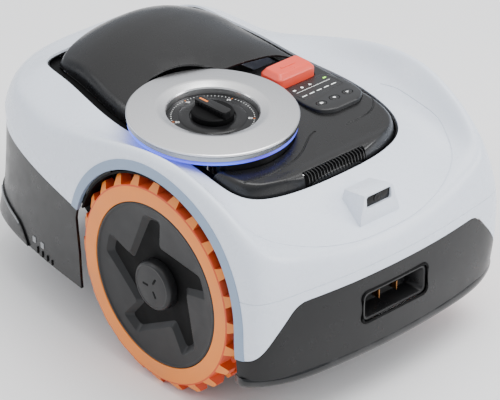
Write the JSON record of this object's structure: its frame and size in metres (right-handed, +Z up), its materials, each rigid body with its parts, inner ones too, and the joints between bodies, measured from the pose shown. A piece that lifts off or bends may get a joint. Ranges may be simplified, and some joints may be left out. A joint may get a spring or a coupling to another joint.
{
  "type": "robotic lawn mower",
  "caption": "Domed battery lawn mower robot with lugged drive wheels, a castor, a sprung nose bumper, a height dial and a disc of swinging blades under the body",
  "frame": {"origin": "on the ground under the middle of the body's box", "axes": "+Z up, -Y towards the front with the charging port, +X towards the machine's left side"},
  "size_m": [0.3472, 0.4966, 0.273],
  "materials": {
    "shell_white": "satin moulded",
    "satin_black": "satin",
    "soft_black": "matt",
    "hood_grey": "satin",
    "brushed_metal": "brushed round the axis",
    "ring_glow": "glowing diffuser",
    "lamp_white": "diffuser",
    "orange_rubber": "matt rubber",
    "coral_red": "satin",
    "orange_mark": "satin",
    "dark_glass": "polished",
    "lens_glass": "polished",
    "steel": "ground",
    "motor_grey": "zinc plated",
    "carriage_grey": "cast",
    "disc_grey": "turned",
    "chassis_grey": "moulded",
    "battery_blue": "shrink sleeve",
    "board_green": "solder mask"
  },
  "bodies": {
    "chassis": {"top_shell": "shell_white", "rear_skirt": "satin_black", "hood_frame": "soft_black", "hood": "hood_grey", "console": "hood_grey", "vent_grille": "satin_black", "dial_disc": "brushed_metal", "light_ring": "ring_glow", "disc_base": "soft_black", "dial_plate": "satin_black", "keypad_panel": "satin_black", "status_lights": "lamp_white", "camera_housing": "shell_white", "camera_window": "dark_glass", "camera_lens": "lens_glass", "drive_motor_left": "motor_grey", "drive_motor_right": "motor_grey", "arch_liner_left": "soft_black", "arch_liner_right": "soft_black", "chassis_pan": "chassis_grey", "battery_pack": "battery_blue", "battery_cover": "satin_black", "main_board": "board_green", "gnss_antenna": "hood_grey", "guide_post": "steel"},
    "bumper": {"front_bumper": "satin_black", "bumper_strip": "soft_black", "charging_socket": "soft_black", "charge_contact_left": "steel", "charge_contact_right": "steel"},
    "wheel_left": {"wheel_rim_left": "satin_black", "tyre_left": "orange_rubber", "hub_cap_left": "satin_black", "axle_left": "steel"},
    "wheel_right": {"wheel_rim_right": "satin_black", "tyre_right": "orange_rubber", "hub_cap_right": "satin_black", "axle_right": "steel"},
    "caster": {"caster_fork": "satin_black", "rear_axle": "steel"},
    "rear_wheel": {"rear_hub": "hood_grey", "rear_tyre": "soft_black"},
    "knob": {"height_knob": "soft_black", "knob_pointer": "orange_mark", "lift_spindle": "steel"},
    "carriage": {"height_carriage": "carriage_grey", "cutting_motor": "motor_grey", "disc_guard": "satin_black"},
    "cutter": {"blade_disc": "disc_grey", "blade_screw_1": "steel", "blade_screw_2": "steel", "blade_screw_3": "steel"},
    "blade_one": {"blade_1": "steel"},
    "blade_two": {"blade_2": "steel"},
    "blade_three": {"blade_3": "steel"},
    "stop": {"stop_button": "coral_red"},
    "home": {"key_home": "hood_grey"},
    "ok": {"key_ok": "hood_grey"},
    "mow": {"key_mow": "hood_grey"}
  },
  "joints": [
    {"name": "wheel_left_spin", "type": "hinge", "parent": "chassis", "child": "wheel_left", "pos_m": [0.154, -0.0857, 0.114], "axis": [1, 0, 0], "continuous": true},
    {"name": "wheel_right_spin", "type": "hinge", "parent": "chassis", "child": "wheel_right", "pos_m": [-0.154, -0.0857, 0.114], "axis": [1, 0, 0], "continuous": true},
    {"name": "caster_swivel", "type": "hinge", "parent": "chassis", "child": "caster", "pos_m": [0, 0.1643, 0.1], "axis": [0, 0, 1], "continuous": true},
    {"name": "rear_wheel_roll", "type": "hinge", "parent": "caster", "child": "rear_wheel", "pos_m": [0, 0.1843, 0.044], "axis": [1, 0, 0], "continuous": true},
    {"name": "bumper_slide", "type": "slide", "parent": "chassis", "child": "bumper", "axis": [0, 1, 0], "range_m": [0, 0.005], "stiffness_N_per_m": 3000},
    {"name": "knob_turn", "type": "hinge", "parent": "chassis", "child": "knob", "pos_m": [-0.0556, -0.0458, 0.248], "axis": [0, -0.0349, 0.9994], "range_deg": [-136, 136]},
    {"name": "carriage_lift", "type": "slide", "parent": "chassis", "child": "carriage", "axis": [0, 0, 1], "range_m": [-0.02, 0.02]},
    {"name": "cutter_spin", "type": "hinge", "parent": "carriage", "child": "cutter", "pos_m": [0, -0.0857, 0.045], "axis": [0, 0, 1], "continuous": true},
    {"name": "blade_one_swing", "type": "hinge", "parent": "cutter", "child": "blade_one", "pos_m": [0, -0.0257, 0.0406], "axis": [0, 0, 1], "continuous": true},
    {"name": "blade_two_swing", "type": "hinge", "parent": "cutter", "child": "blade_two", "pos_m": [-0.05196, -0.1157, 0.0406], "axis": [0, 0, 1], "continuous": true},
    {"name": "blade_three_swing", "type": "hinge", "parent": "cutter", "child": "blade_three", "pos_m": [0.05196, -0.1157, 0.0406], "axis": [0, 0, 1], "continuous": true},
    {"name": "stop_press", "type": "slide", "parent": "chassis", "child": "stop", "axis": [0, 0, -1], "range_m": [0, 0.003], "stiffness_N_per_m": 1000},
    {"name": "home_press", "type": "slide", "parent": "chassis", "child": "home", "axis": [0, 0, -1], "range_m": [0, 0.0008], "stiffness_N_per_m": 600},
    {"name": "ok_press", "type": "slide", "parent": "chassis", "child": "ok", "axis": [0, 0, -1], "range_m": [0, 0.0008], "stiffness_N_per_m": 600},
    {"name": "mow_press", "type": "slide", "parent": "chassis", "child": "mow", "axis": [0, 0, -1], "range_m": [0, 0.0008], "stiffness_N_per_m": 600}
  ],
  "couplings": [
    {"joint": "knob_turn", "follows": "carriage_lift", "rad_per_m": 117.6}
  ]
}
